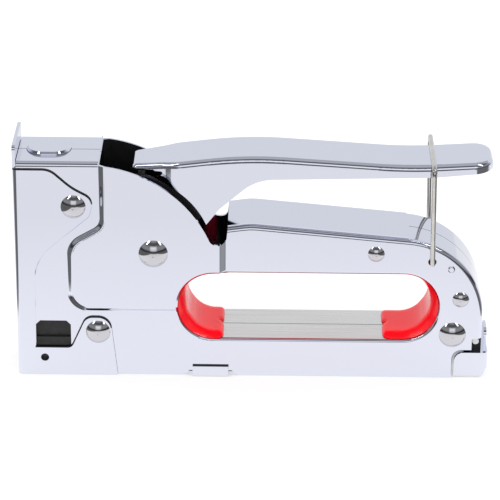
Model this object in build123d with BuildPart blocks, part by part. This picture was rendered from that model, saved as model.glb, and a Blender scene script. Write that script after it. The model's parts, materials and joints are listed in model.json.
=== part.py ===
"""Hand staple gun: two chromed half shells, a squeeze lever, a driver and a slide-out magazine.

Frame: +X runs from the nose to the rear, +Y to the right of the user, +Z up.
The origin lies on the surface that the tool stands on, under the middle of the tool.
"""

import os
from math import cos, pi, radians, sin, sqrt

from build123d import *

os.makedirs("parts", exist_ok=True)

# Overall size
overall_length = 172.3
body_width = 26.0
nose_height = 84.0

# A run is measured back from the nose, a back forward from the rear end
nose_x = -overall_length / 2
rear_x = overall_length / 2
half_width = body_width / 2

# Sheet metal
shell_sheet = 1.0
cover_sheet = 1.2
wing_sheet = 0.9
wing_chamfer = 0.35
lever_sheet = 1.2
shell_bend = 1.8
lever_bend = 2.0
fit_gap = 0.15
free_gap = 0.3

# Margins: for telling edges apart, and for cuts that run past an edge
edge_margin = 0.1
past = 12.0

# Nose: driver channel, top flange and raised middle panel
blade_thickness = 1.0
blade_channel = 1.3
shell_front = nose_x + cover_sheet + blade_channel
flange_front = nose_x + cover_sheet + fit_gap
flange_tab = 4.0
flange_end_run = 30.8
flange_end = nose_x + flange_end_run
panel_raise = 1.2
panel_slope = 2.2
panel_half = half_width + panel_raise
panel_front_run = 18.6
panel_front = nose_x + panel_front_run
panel_step_run = 30.6
panel_step = nose_x + panel_step_run
panel_low = 25.5
panel_shoulder = 53.0
panel_neck = 60.0
panel_rear_run = 76.2
panel_rear = nose_x + panel_rear_run
panel_corner = 8.0
panel_shoulder_radius = 9.0
panel_neck_radius = 4.0

# Opening for the lever, cut in the top of both shells
opening_run = 26.7
opening_x = nose_x + opening_run
opening_z = 35.8
opening_radius = 47.4
opening_turn = 35.0
notch_low = 52.6
notch_top = 55.0
notch_rear_run = 76.5
notch_rear = nose_x + notch_rear_run

# Grip bar, finger loop and rear
grip_front_run = 76.9
grip_front = nose_x + grip_front_run
grip_front_z = 59.0
grip_crown_run = 85.1
grip_crown_x = nose_x + grip_crown_run
grip_crown_z = 60.2
grip_radius = 20.0
shell_rear_back = 2.4
shell_rear = rear_x - shell_rear_back
grip_rear_z = 52.5
rear_radius = 30.0
lap_rear_back = 30.2
lap_rear = rear_x - lap_rear_back
lap_sheet = 0.5
loop_front_run = 58.7
loop_front = nose_x + loop_front_run
loop_rear_back = 18.4
loop_rear = rear_x - loop_rear_back
loop_low = 15.0
loop_high = 41.4
loop_edge = 1.2
loop_panel_edge = 0.7
loop_height = loop_high - loop_low
loop_length = loop_rear - loop_front
loop_x = (loop_front + loop_rear) / 2
loop_z = (loop_low + loop_high) / 2

# Rear corner that the magazine cap closes
cap_front_back = 12.2
cap_front = rear_x - cap_front_back
cap_gap = 0.7
cap_edge = 0.8
cap_height = 10.2
rear_flange_low = 16.0
rear_notch_front_back = 6.0
rear_notch_front = rear_x - rear_notch_front_back

# Rivets: places, heads and shanks
upper_rivet_run = 21.6
upper_rivet_x = nose_x + upper_rivet_run
upper_rivet_drop = 16.7
upper_rivet_z = nose_height - upper_rivet_drop
lower_rivet_run = 29.6
lower_rivet_x = nose_x + lower_rivet_run
lower_rivet_z = 17.6
pivot_run = 50.1
pivot_x = nose_x + pivot_run
pivot_z = 49.3
rear_rivet_back = 13.2
rear_rivet_x = rear_x - rear_rivet_back
rear_rivet_z = 17.5
grip_rivet_back = 41.8
grip_rivet_x = rear_x - grip_rivet_back
grip_rivet_z = 49.5
heel_rivet_back = 10.7
heel_rivet_x = rear_x - heel_rivet_back
heel_rivet_z = 31.7
nose_head = 9.0
nose_shank = 4.4
pivot_head = 10.6
pivot_shank = 6.0
rear_head = 9.9
rear_shank = 5.0
small_head = 6.1
small_shank = 3.2
dimple_back = 14.5
dimple_x = rear_x - dimple_back
dimple_z = 43.8
dimple_width = 2.6
dimple_rise = 0.5
head_rise = 0.24
tail_share = 0.85
tail_rise = 1.2
shank_gap = 0.05

# Lever: side view heights from the table, widths across
lever_width = 22.0
lever_tip_run = 42.2
lever_tip_x = nose_x + lever_tip_run
lever_tip_z = 81.1
lever_tip_width = 15.0
lever_tip_corner = 2.2
lever_neck_width = 19.2
tongue_depth = 1.9
tongue_growth = 0.4
neck_run = 53.9
neck_x = nose_x + neck_run
neck_length = 4.5
neck_radius = 13.0
beak_run = 51.2
beak_x = nose_x + beak_run
beak_z = 76.4
beak_root = 4.2
beak_face = 0.7
beak_lean = 0.2
lobe_tip_run = 69.1
lobe_tip_x = nose_x + lobe_tip_run
lobe_tip_z = 59.6
lobe_rear_run = 73.9
lobe_rear_x = nose_x + lobe_rear_run
lobe_rear_z = 65.8
lobe_radius = 12.0
lobe_bow_run = 62.5
lobe_bow_x = nose_x + lobe_bow_run
lobe_bow_z = 69.3
web_corner_run = 86.9
web_corner_x = nose_x + web_corner_run
web_corner_z = 77.2
web_corner_radius = 17.0
crown_run = 83.6
crown_x = nose_x + crown_run
crown_z = 86.3
crown_radius = 150.0
dip_back = 30.5
dip_x = rear_x - dip_back
dip_z = 82.65
dip_radius = 180.0
lever_end_back = 0.5
lever_end_x = rear_x - lever_end_back
lever_end_z = 84.5
lever_end_depth = 3.6
lever_corner = 7.0
saddle_back = 22.1
saddle_x = rear_x - saddle_back
saddle_z = 83.2
saddle_depth = 4.4
saddle_radius = 60.0
squeeze_angle = 13.0

# Lift arm and driver
arm_width = lever_width - 2 * lever_sheet
arm_cheek = 2.4
cheek_front = 2.0
cheek_front_z = 78.0
cheek_beak = 2.4
cheek_beak_z = 77.2
cheek_bow = 6.5
cheek_bow_z = 71.5
cheek_top = 11.0
cheek_top_z = 81.0
cheek_rear = 2.6
cheek_rear_z = 69.5
cheek_heel = 1.4
cheek_heel_z = 62.6
cheek_foot = 5.4
cheek_below = 3.4
cheek_waist = 9.7
cheek_waist_z = 60.0
cheek_shoulder_z = 72.0
spacer_front = 4.5
spacer_z = 68.0
spacer_high = 16.0
arm_reach = 35.0
finger_width = 6.0
finger_depth = 3.0
hub_radius = 6.4
bush_wall = 1.4
bush_gap = 0.03
blade_width = 11.3
blade_low = 1.0
blade_high = 49.0
blade_tab = 3.0
blade_tab_width = 8.3
striker_width = 14.0
striker_front = shell_front + free_gap
striker_rear_run = 20.0
striker_rear = nose_x + striker_rear_run
striker_high = 52.0
striker_slot = 5.0
striker_slot_corner = 1.0
striker_chamfer = 1.0
bumper_front_run = 7.0
bumper_front = nose_x + bumper_front_run
bumper_rear_run = 19.4
bumper_rear = nose_x + bumper_rear_run
bumper_high = 21.4
bumper_chamfer = 1.6
bumper_ledge = 3.4
bumper_recess = 1.0
window_gap = 0.2

# Main spring and its cap
spring_run = 12.25
spring_x = nose_x + spring_run
spring_wire = 2.1
spring_outer = 12.5
spring_turns = 7
spring_steps = 12
boss_length = 15.9
boss_width = 12.4
boss_rise = 1.1
cap_plate = 2.0
cap_plate_end = 1.3
cap_plate_side = 2.0
spigot_height = 5.0

# Magazine
track_width = 14.2
track_high = 11.5
track_sheet = 0.9
foot_width = 23.4
rail_width = 9.6
rail_high = 9.0
rail_low = 1.6
rail_sheet = 0.8
rail_slot = 3.0
rail_slot_front = 4.0
rail_slot_rear = 8.0
rail_end_gap = 1.2
track_end_gap = 2.2
rod_diameter = 2.8
rod_z = 5.2
pusher_length = 14.0
pusher_sheet = 0.6
pusher_gap = 0.2
pusher_start = 2.0
lug_diameter = 5.2
lug_setback = 6.0
lug_length = 6.0
feed_wire = 0.7
feed_turns = 20
feed_steps = 8
ear_front_run = 64.1
ear_front = nose_x + ear_front_run
ear_rear_run = 77.3
ear_rear = nose_x + ear_rear_run
ear_high = 3.9
ear_notch_rise = 1.0
ear_notch_top = 1.2
ear_notch_foot = 3.2
stud_run = 9.9
stud_x = nose_x + stud_run
stud_z = 7.0
stud_diameter = 2.9
stud_recess = 0.7
cap_sheet = 1.0
cap_corner = 3.4
cap_tongue_width = 10.0
cap_tongue_high = 15.8
cap_tongue_corner = 2.5
cap_heel_high = 4.0
cap_heel_run = 1.6
latch_pin_back = 4.3
latch_pin_x = rear_x - latch_pin_back
latch_pin_z = 13.2
latch_pin_diameter = 2.4
latch_lug = 1.2
latch_lug_wall = 0.8
latch_pin_end = 0.4
latch_span = 18.0
plug_length = 6.0
plug_chamfer = 0.6

# Lock bail
bail_back = 21.5
bail_x = rear_x - bail_back
bail_z = 46.7
bail_wire = 1.8
bail_hole = 3.0
bail_span = 34.0
bail_foot = 29.2
bail_peg = 3.6
bail_bend = 2.5

# Front cover
cover_top_rise = 5.8
cover_top = nose_height + cover_top_rise
cover_tongue_width = 24.6
cover_tongue_root = 4.0
cover_tongue_corner = 1.5
wing_end_run = 40.0
wing_end = nose_x + wing_end_run
cover_edge_drop = 2.4
cover_edge = nose_height - cover_edge_drop
cover_bend = 1.6
wing_top_run = 13.4
wing_dip_run = 21.0
wing_dip_drop = 9.4
wing_peak_run = 29.0
wing_peak_drop = 13.8
wing_heel_run = 27.5
wing_heel_drop = 20.5
wing_waist_run = 7.2
wing_waist_drop = 38.0
foot_front_run = 25.1
foot_rear_run = 34.1
foot_low_run = 36.6
foot_high = 23.6

# Red grip liner
liner_pad = 2.4
liner_strip = 0.5
liner_corner = 3.0
liner_front_end_run = 75.4
liner_front_end = nose_x + liner_front_end_run
liner_rear_end_back = 38.6
liner_rear_end = rear_x - liner_rear_end_back


def discs(places, diameter):
    """Draw round holes or shanks at the given places."""
    with BuildSketch() as drawn:
        with Locations(*places):
            Circle(diameter / 2)
    return drawn.sketch


def nose_holes():
    """Draw the holes in the nose for its two rivets and for the track stud."""
    rivet_places = [(upper_rivet_x, upper_rivet_z), (lower_rivet_x, lower_rivet_z)]
    with BuildSketch() as drawn:
        add(discs(rivet_places, nose_shank + 2 * shank_gap))
        add(discs([(stud_x, stud_z)], stud_diameter + 2 * shank_gap))
    return drawn.sketch


def finger_loop(growth):
    """Draw the finger loop, grown by a margin all round."""
    with BuildSketch() as drawn:
        with Locations((loop_x, loop_z)):
            SlotOverall(loop_length + 2 * growth, loop_height + 2 * growth)
    return drawn.sketch


def shell_outline():
    """Draw one half shell as seen from the side, without the finger loop."""
    opening_start = opening_z + sqrt(opening_radius**2 - (flange_end - opening_x) ** 2)
    opening_end = opening_x + sqrt(opening_radius**2 - (notch_top - opening_z) ** 2)
    opening_side = opening_x + opening_radius * sin(radians(opening_turn))
    opening_peak = opening_z + opening_radius * cos(radians(opening_turn))
    notch_middle = (opening_end + notch_rear) / 2
    with BuildSketch() as drawn:
        with BuildLine():
            FilletPolyline(
                (notch_rear, notch_top),
                (grip_front, grip_front_z),
                (grip_crown_x, grip_crown_z),
                (shell_rear, grip_rear_z),
                (shell_rear, rear_flange_low),
                (rear_notch_front, rear_flange_low),
                (rear_notch_front, cap_height + cap_gap),
                (cap_front - cap_gap, cap_height + cap_gap),
                (cap_front - cap_gap, 0),
                (shell_front, 0),
                (shell_front, nose_height - flange_tab),
                (flange_front, nose_height - flange_tab),
                (flange_front, nose_height),
                (flange_end, nose_height),
                (flange_end, opening_start),
                radius=[0, grip_radius, rear_radius, 0, 1, 0, cap_corner, 0, 0, 0, 0, 0, 0],
            )
            ThreePointArc((flange_end, opening_start), (opening_side, opening_peak), (opening_end, notch_top))
            ThreePointArc((opening_end, notch_top), (notch_middle, notch_low), (notch_rear, notch_top))
        make_face()
    return drawn.sketch


def hollow_outline():
    """Draw the side view grown past every open edge, then drawn in by the sheet thickness."""
    with BuildSketch() as drawn:
        with BuildLine():
            FilletPolyline(
                (notch_rear - shell_sheet, nose_height + past),
                (notch_rear - shell_sheet, grip_front_z),
                (grip_crown_x, grip_crown_z),
                (shell_rear, grip_rear_z),
                (shell_rear, -past),
                (shell_front - past, -past),
                (shell_front - past, nose_height),
                (flange_end + past, nose_height),
                (flange_end + past, nose_height + past),
                radius=[0, 0, grip_radius, rear_radius, 0, 0, 0, 0, 0],
                close=True,
            )
        make_face()
        offset(amount=-shell_sheet, kind=Kind.INTERSECTION)
    return drawn.sketch


def panel_outline(inset):
    """Draw the raised middle panel, run past the lever opening and into the finger loop."""
    front_radii = [panel_corner - inset, panel_shoulder_radius - inset, panel_neck_radius + inset]
    with BuildSketch() as drawn:
        with BuildLine():
            FilletPolyline(
                (panel_front + inset, panel_low + inset),
                (panel_front + inset, panel_shoulder - inset / 2),
                (panel_step + inset, panel_neck - inset / 2),
                (panel_step + inset, nose_height + past),
                (panel_rear - inset, nose_height + past),
                (panel_rear - inset, loop_z + past / 2),
                (loop_front + past, panel_low + inset),
                radius=[*front_radii, 0, 0, 0, 0],
                close=True,
            )
        make_face()
    return drawn.sketch


def on_flange(edge):
    """Say whether an edge of a side face is one that bends into a flange."""
    middle = edge @ 0.5
    on_nose = middle.X < flange_end and middle.Z > nose_height - shell_sheet - edge_margin
    on_grip = middle.X > grip_front + edge_margin and middle.Z > loop_high + shell_bend
    on_rear = middle.X > shell_rear - shell_sheet - edge_margin
    return on_nose or on_grip or on_rear


def on_wing(edge):
    """Say whether an edge runs round the outside of a cover wing, off its holes, its bend and the table."""
    middle = edge @ 0.5
    outside = abs(middle.Y) > half_width + wing_sheet - edge_margin
    on_outline = middle.X > nose_x + cover_bend + edge_margin and middle.Z > edge_margin
    return outside and on_outline and edge.geom_type != GeomType.CIRCLE


def on_cap(edge):
    """Say whether an edge of a side face runs along the front and the top of the rear cap."""
    middle = edge @ 0.5
    behind_front = middle.X > cap_front - cap_gap - edge_margin
    return behind_front and edge_margin < middle.Z < cap_height + cap_gap + edge_margin


def on_loop(edge):
    """Say whether an edge of a side face runs round the finger loop."""
    middle = edge @ 0.5
    end_radius = loop_height / 2
    past_end = max(loop_front + end_radius - middle.X, middle.X - loop_rear + end_radius, 0)
    return abs(sqrt(past_end**2 + (middle.Z - loop_z) ** 2) - end_radius) < edge_margin


def bumper_outline(growth):
    """Draw the bumper block from the side, with its two upper corners cut off."""
    low = track_high - growth
    high = bumper_high + growth
    with BuildSketch() as drawn:
        with BuildLine():
            Polyline(
                (bumper_front - growth, low),
                (bumper_front - growth, high - bumper_chamfer),
                (bumper_front - growth + bumper_chamfer, high),
                (bumper_rear + growth - bumper_chamfer, high),
                (bumper_rear + growth, high - bumper_chamfer),
                (bumper_rear + growth, low),
                close=True,
            )
        make_face()
    return drawn.sketch


def lever_side(drop):
    """Draw the lever from the side, from its top line, lowered by a drop, down past the lobes."""
    front_slope = (crown_z - lever_tip_z) / (crown_x - lever_tip_x)
    rear_slope = (lever_end_z - dip_z) / (lever_end_x - dip_x)
    with BuildSketch() as drawn:
        with BuildLine():
            FilletPolyline(
                (lever_tip_x - past, lever_tip_z - drop - front_slope * past),
                (crown_x, crown_z - drop),
                (dip_x, dip_z - drop),
                (lever_end_x + past, lever_end_z - drop + rear_slope * past),
                (lever_end_x + past, lobe_tip_z - past),
                (lever_tip_x - past, lobe_tip_z - past),
                radius=[0, crown_radius, dip_radius, 0, 0, 0],
                close=True,
            )
        make_face()
    return drawn.sketch


def lever_plan(inset):
    """Draw the lever from above: a narrow tongue in front, rounded corners behind."""
    front_radii = [lever_tip_corner, neck_radius, neck_radius]
    with BuildSketch() as drawn:
        with BuildLine():
            FilletPolyline(
                (lever_tip_x, -lever_tip_width / 2),
                (neck_x, -lever_neck_width / 2),
                (neck_x + neck_length, -lever_width / 2),
                (lever_end_x, -lever_width / 2),
                (lever_end_x, lever_width / 2),
                (neck_x + neck_length, lever_width / 2),
                (neck_x, lever_neck_width / 2),
                (lever_tip_x, lever_tip_width / 2),
                radius=[*front_radii, lever_corner, lever_corner, *reversed(front_radii)],
                close=True,
            )
        make_face()
        if inset > 0:
            offset(amount=-inset, kind=Kind.INTERSECTION)
    return drawn.sketch


def rivet(head, shank, seat):
    """Make a rivet along Y: a domed head on the left seat, a flat formed tail on the right one."""
    rise = head * head_rise
    tail = head * tail_share
    with BuildPart() as made:
        with BuildSketch(Plane.XY):
            with BuildLine():
                TangentArc((0, -seat - rise), (head / 2, -seat), tangent=(1, 0))
                Polyline(
                    (head / 2, -seat),
                    (shank / 2, -seat),
                    (shank / 2, seat),
                    (tail / 2, seat),
                    (tail / 2, seat + tail_rise / 2),
                    (tail / 2 - tail_rise / 2, seat + tail_rise),
                    (0, seat + tail_rise),
                    (0, -seat - rise),
                )
            make_face()
        revolve(axis=Axis.Y)
    return made.part


def coil(turns, steps, height, radius, wire):
    """Make an open coil spring along Z, as short straight runs of six-sided wire on a helix."""
    runs = turns * steps
    turn = 2 * pi / steps
    places = [(radius * cos(turn * i), radius * sin(turn * i), height * i / runs) for i in range(runs + 1)]
    with BuildPart() as made:
        with BuildLine() as path:
            Polyline(places)
        with BuildSketch(Plane(origin=path.line @ 0, z_dir=path.line % 0)):
            RegularPolygon(radius=wire / 2, side_count=6)
        sweep(path=path.line, transition=Transition.RIGHT)
    return made.part


# Hollow of one half shell, with the wall round the finger loop left standing
with BuildPart() as shell_hollow:
    with BuildSketch(Plane.XZ):
        add(hollow_outline())
    extrude(amount=half_width - shell_sheet)
    with BuildSketch(Plane.XZ.offset(half_width - shell_sheet)):
        add(panel_outline(shell_sheet / 2))
    with BuildSketch(Plane.XZ.offset(panel_half - shell_sheet)):
        add(panel_outline(shell_sheet / 2 + panel_slope))
    loft(ruled=True)
    with BuildSketch(Plane.XZ):
        add(finger_loop(shell_sheet))
    extrude(amount=panel_half, mode=Mode.SUBTRACT)

# Raised panel that stands out from the flat side
with BuildPart() as raised_panel:
    with BuildSketch(Plane.XZ.offset(half_width)):
        add(panel_outline(0))
    with BuildSketch(Plane.XZ.offset(panel_half)):
        add(panel_outline(panel_slope))
    loft(ruled=True)
    fillet(faces().sort_by(Axis.Y)[0].edges(), panel_raise * 0.8)
    with BuildSketch(Plane.XZ):
        add(shell_outline())
        add(finger_loop(0), mode=Mode.SUBTRACT)
    extrude(amount=panel_half, mode=Mode.INTERSECT)
    panel_face = faces().sort_by(Axis.Y)[0]
    chamfer([edge for edge in panel_face.edges() if on_loop(edge)], loop_panel_edge)

# Locating dimple behind the bail
with BuildPart() as dimple:
    with BuildSketch(Plane.XZ.offset(half_width)):
        add(discs([(dimple_x, dimple_z)], dimple_width))
    extrude(amount=dimple_rise)
    chamfer(faces().sort_by(Axis.Y)[0].edges(), dimple_rise * 0.8)

# Half shell, as pressed for either side
with BuildPart() as half_shell:
    with BuildSketch(Plane.XZ):
        add(shell_outline())
        add(finger_loop(0), mode=Mode.SUBTRACT)
    extrude(amount=half_width)
    side_face = faces().sort_by(Axis.Y)[0]
    fillet([edge for edge in side_face.edges() if on_flange(edge)], shell_bend)
    side_face = faces().sort_by(Axis.Y)[0]
    fillet([edge for edge in side_face.edges() if on_loop(edge)], loop_edge)
    side_face = faces().sort_by(Axis.Y)[0]
    fillet([edge for edge in side_face.edges() if on_cap(edge)], cap_edge)
    add(raised_panel.part)
    add(dimple.part)
    add(shell_hollow.part, mode=Mode.SUBTRACT)

    # Rivet holes, bail hole, bumper window, stud hole and the notch for the track ears
    with BuildSketch(Plane.XZ):
        add(nose_holes())
        add(discs([(pivot_x, pivot_z)], pivot_shank + 2 * shank_gap))
        add(discs([(rear_rivet_x, rear_rivet_z)], rear_shank + 2 * shank_gap))
        add(discs([(grip_rivet_x, grip_rivet_z), (heel_rivet_x, heel_rivet_z)], small_shank + 2 * shank_gap))
        add(discs([(bail_x, bail_z)], bail_hole))
        add(bumper_outline(window_gap))
        with BuildLine():
            Polyline(
                (ear_front - ear_notch_foot, 0),
                (ear_front - ear_notch_top, track_sheet + ear_notch_rise),
                (ear_rear + ear_notch_top, track_sheet + ear_notch_rise),
                (ear_rear + ear_notch_foot, 0),
                close=True,
            )
        make_face()
    extrude(amount=panel_half, mode=Mode.SUBTRACT)
    # Slot in the top flange for the spring cap
    with BuildSketch(Plane.XY.offset(nose_height)):
        with Locations((spring_x, 0)):
            SlotOverall(boss_length + 2 * fit_gap, boss_width + 2 * fit_gap)
    extrude(amount=-2 * shell_sheet, mode=Mode.SUBTRACT)

# Left half shell, with the lap of its top flange over the grip seam
lap_half = half_width - shell_bend
lap_fall = (grip_rear_z - grip_crown_z) / (shell_rear - grip_crown_x) * (lap_rear - grip_crown_x)
with BuildPart() as left_shell:
    add(half_shell.part)
    with BuildSketch(Plane.XZ.offset(-lap_half)):
        with BuildLine():
            FilletPolyline(
                (grip_front, grip_front_z),
                (grip_crown_x, grip_crown_z),
                (lap_rear, grip_crown_z + lap_fall),
                (lap_rear, grip_crown_z + lap_fall + lap_sheet),
                (grip_crown_x, grip_crown_z + lap_sheet),
                (grip_front, grip_front_z + lap_sheet),
                radius=[0, grip_radius, 0, 0, grip_radius, 0],
                close=True,
            )
        make_face()
    extrude(amount=2 * lap_half)
left_shell.part.label = "left_shell"
export_step(left_shell.part, "parts/left_shell.step")

# Right half shell
with BuildPart() as right_shell:
    mirror(half_shell.part, about=Plane.XZ)
right_shell.part.label = "right_shell"
export_step(right_shell.part, "parts/right_shell.step")

# Front cover with its two wings and the upright tongue
with BuildPart() as front_cover:
    with BuildSketch(Plane.XY):
        with BuildLine():
            FilletPolyline(
                (wing_end, -half_width - wing_sheet),
                (nose_x, -half_width - wing_sheet),
                (nose_x, half_width + wing_sheet),
                (wing_end, half_width + wing_sheet),
                radius=cover_bend,
            )
            Polyline(
                (wing_end, half_width + wing_sheet),
                (wing_end, half_width),
                (nose_x + cover_sheet, half_width),
                (nose_x + cover_sheet, -half_width),
                (wing_end, -half_width),
                (wing_end, -half_width - wing_sheet),
            )
        make_face()
    extrude(amount=cover_edge)
    with BuildSketch(Plane.XZ):
        with BuildLine():
            FilletPolyline(
                (nose_x, 0),
                (nose_x, cover_edge),
                (nose_x + wing_top_run, cover_edge),
                (nose_x + wing_dip_run, nose_height - wing_dip_drop),
                (nose_x + wing_peak_run, nose_height - wing_peak_drop),
                (nose_x + wing_heel_run, nose_height - wing_heel_drop),
                (nose_x + wing_waist_run, nose_height - wing_waist_drop),
                (bumper_front - window_gap, track_high - window_gap),
                (bumper_rear + window_gap, track_high - window_gap),
                (nose_x + foot_front_run, foot_high),
                (nose_x + foot_rear_run, foot_high),
                (nose_x + foot_low_run, 0),
                radius=[0, 0, 7, 22, 4.5, 4, 18, 0, 2, 4, 5, 0],
                close=True,
            )
        make_face()
        add(nose_holes(), mode=Mode.SUBTRACT)
    extrude(amount=body_width, both=True, mode=Mode.INTERSECT)
    chamfer(edges().filter_by(on_wing), wing_chamfer)
    with BuildSketch(Plane.YZ.offset(nose_x)):
        with BuildLine():
            FilletPolyline(
                (-cover_tongue_width / 2, cover_edge - cover_tongue_root),
                (-cover_tongue_width / 2, cover_top),
                (cover_tongue_width / 2, cover_top),
                (cover_tongue_width / 2, cover_edge - cover_tongue_root),
                radius=[0, cover_tongue_corner, cover_tongue_corner, 0],
                close=True,
            )
        make_face()
    extrude(amount=cover_sheet)
front_cover.part.label = "front_cover"
export_step(front_cover.part, "parts/front_cover.step")

# Spring cap: a plate under the top flange, a long boss through its slot, a spigot in the spring
cap_plate_high = nose_height - shell_sheet
cap_plate_low = cap_plate_high - cap_plate
with BuildPart() as spring_cap:
    with BuildSketch(Plane.XY.offset(cap_plate_low)):
        with Locations((spring_x, 0)):
            RectangleRounded(boss_length + 2 * cap_plate_end, boss_width + 2 * cap_plate_side, cap_plate_side)
    extrude(amount=cap_plate)
    with BuildSketch(Plane.XY.offset(cap_plate_high)):
        with Locations((spring_x, 0)):
            SlotOverall(boss_length, boss_width)
    extrude(amount=shell_sheet + boss_rise)
    chamfer(faces().sort_by(Axis.Z)[-1].edges(), boss_rise * 0.6)
    with BuildSketch(Plane.XY.offset(cap_plate_low)):
        with Locations((spring_x, 0)):
            Circle(spring_outer / 2 - spring_wire - free_gap)
    extrude(amount=-spigot_height)
spring_cap.part.label = "spring_cap"
export_step(spring_cap.part, "parts/spring_cap.step")

# Rubber bumper under the striker, with a ledge along the foot of each window
with BuildPart() as bumper:
    with BuildSketch(Plane.XZ):
        add(bumper_outline(0))
    extrude(amount=half_width - fit_gap - bumper_recess, both=True)
    with BuildSketch(Plane.XZ):
        with Locations(((bumper_front + bumper_rear) / 2, track_high + bumper_ledge / 2)):
            Rectangle(bumper_rear - bumper_front, bumper_ledge)
    extrude(amount=half_width - fit_gap, both=True)
bumper.part.label = "bumper"
export_step(bumper.part, "parts/bumper.step")

# Red liner of the finger loop: two end pads that thin out upwards, joined by a strip along the top
pad_height = loop_height - liner_strip - liner_pad
pad_top = loop_high - liner_strip
pad_middle = (liner_front_end + liner_rear_end) / 2
with BuildPart() as grip_liner:
    with BuildSketch(Plane.XZ):
        add(finger_loop(-fit_gap))
        with Locations((loop_x, pad_top - pad_height / 2)):
            SlotOverall(loop_length - 2 * liner_pad, pad_height, mode=Mode.SUBTRACT)
    extrude(amount=half_width + fit_gap, both=True)
    with BuildSketch(Plane.XZ):
        with Locations((loop_front, loop_z)):
            Rectangle(2 * (liner_front_end - loop_front), loop_height)
        with Locations((loop_x, pad_top - pad_height / 2)):
            SlotOverall(loop_length - 2 * liner_pad, pad_height, mode=Mode.SUBTRACT)
        add(finger_loop(-fit_gap), mode=Mode.INTERSECT)
    extrude(amount=panel_half + fit_gap, both=True)
    with BuildSketch(Plane.XY.offset(loop_low)):
        with Locations((pad_middle, 0)):
            Rectangle(liner_rear_end - liner_front_end, 2 * body_width)
    extrude(amount=loop_height / 2, mode=Mode.SUBTRACT)
    pad_corners = edges().filter_by(Axis.Z).filter_by_position(Axis.Z, loop_low, loop_z)
    pad_span = (liner_front_end - edge_margin, liner_rear_end + edge_margin)
    fillet(pad_corners.filter_by_position(Axis.X, *pad_span), liner_corner)
grip_liner.part.label = "grip_liner"
export_step(grip_liner.part, "parts/grip_liner.step")

# Rivets that hold the shells together
with BuildPart() as nose_rivets:
    with Locations((upper_rivet_x, 0, upper_rivet_z), (lower_rivet_x, 0, lower_rivet_z)):
        add(rivet(nose_head, nose_shank, half_width + wing_sheet))
nose_rivets.part.label = "nose_rivets"
export_step(nose_rivets.part, "parts/nose_rivets.step")

with BuildPart() as pivot_rivet:
    with Locations((pivot_x, 0, pivot_z)):
        add(rivet(pivot_head, pivot_shank, panel_half))
pivot_rivet.part.label = "pivot_rivet"
export_step(pivot_rivet.part, "parts/pivot_rivet.step")

with BuildPart() as rear_rivet:
    with Locations((rear_rivet_x, 0, rear_rivet_z)):
        add(rivet(rear_head, rear_shank, half_width))
rear_rivet.part.label = "rear_rivet"
export_step(rear_rivet.part, "parts/rear_rivet.step")

with BuildPart() as grip_rivets:
    with Locations((grip_rivet_x, 0, grip_rivet_z), (heel_rivet_x, 0, heel_rivet_z)):
        add(rivet(small_head, small_shank, half_width))
grip_rivets.part.label = "grip_rivets"
export_step(grip_rivets.part, "parts/grip_rivets.step")

# Magazine track: a hat section between the shells, with ears folded up outside them
track_rear = cap_front - track_end_gap
ear_inner = half_width + fit_gap
ear_middle = ear_inner + track_sheet / 2
with BuildPart() as magazine_track:
    with BuildSketch(Plane.YZ.offset(shell_front)):
        with Locations((0, track_high / 2)):
            Rectangle(track_width, track_high)
        with Locations((0, track_sheet / 2)):
            Rectangle(foot_width, track_sheet)
        with Locations((0, (track_high - track_sheet) / 2)):
            Rectangle(track_width - 2 * track_sheet, track_high - track_sheet, mode=Mode.SUBTRACT)
    extrude(amount=track_rear - shell_front)
    with BuildSketch(Plane.YZ.offset(ear_front)):
        with Locations((0, track_sheet / 2)):
            Rectangle(2 * (ear_inner + track_sheet), track_sheet)
        with Locations((-ear_middle, ear_high / 2), (ear_middle, ear_high / 2)):
            Rectangle(track_sheet, ear_high)
        with Locations((0, track_sheet / 2)):
            Rectangle(track_width, track_sheet, mode=Mode.SUBTRACT)
    extrude(amount=ear_rear - ear_front)
magazine_track.part.label = "magazine_track"
export_step(magazine_track.part, "parts/magazine_track.step")

# Two studs that carry the front of the track in the shells
with BuildPart() as track_studs:
    with BuildSketch(Plane.XZ.offset(track_width / 2)):
        add(discs([(stud_x, stud_z)], stud_diameter))
    extrude(amount=half_width - stud_recess - track_width / 2)
    mirror(about=Plane.XZ)
track_studs.part.label = "track_studs"
export_step(track_studs.part, "parts/track_studs.step")

# Lever: a pressed channel with a narrow tongue in front and two lobes
with BuildPart() as lever_hollow:
    with BuildSketch(Plane.XZ.offset(-lever_width)):
        add(lever_side(lever_sheet))
    extrude(amount=2 * lever_width)
    with BuildSketch(Plane.XY):
        add(lever_plan(lever_sheet))
    extrude(amount=crown_z + past, both=True, mode=Mode.INTERSECT)

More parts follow.
